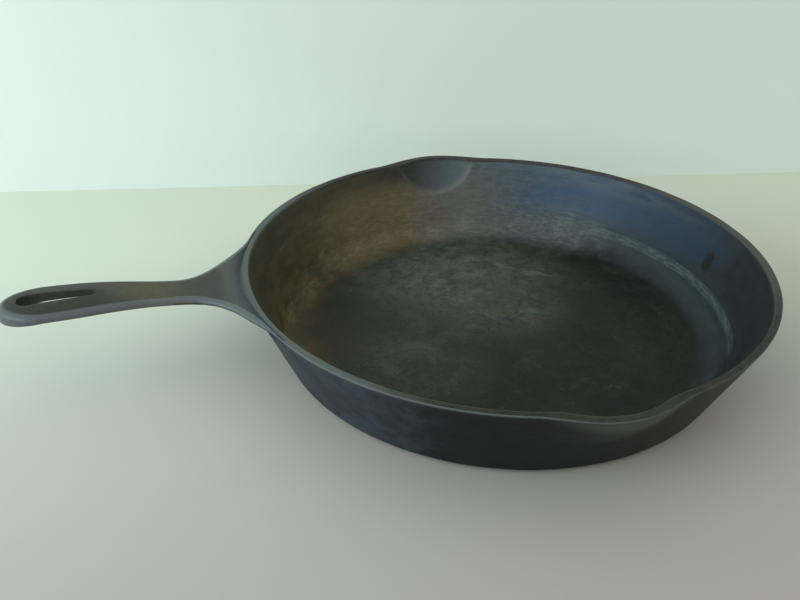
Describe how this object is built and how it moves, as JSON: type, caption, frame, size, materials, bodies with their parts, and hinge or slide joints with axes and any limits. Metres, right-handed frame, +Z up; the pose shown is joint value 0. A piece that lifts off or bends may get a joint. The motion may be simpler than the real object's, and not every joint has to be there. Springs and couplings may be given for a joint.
{
  "type": "cast iron skillet",
  "caption": "Round cast iron frying pan with sloping wall, pouring lips on both sides and one crowned handle with a teardrop hanging hole.",
  "frame": {"origin": "centre of the pan on the flat surface that it stands on", "axes": "+Z up, handle along -X, pouring lips at +Y and -Y"},
  "size_m": [0.4194, 0.312, 0.0566],
  "materials": {
    "seasoned_iron": "seasoned cast iron: fine cast grain, matt to satin, browned on the inner wall, worn paler on the floor and lip"
  },
  "bodies": {
    "root": {"cooking_floor": "seasoned_iron", "heat_ring": "seasoned_iron", "side_wall": "seasoned_iron", "pour_spout_left": "seasoned_iron", "pour_spout_right": "seasoned_iron", "handle_root": "seasoned_iron", "handle_grip": "seasoned_iron", "handle_eye": "seasoned_iron"}
  },
  "joints": []
}
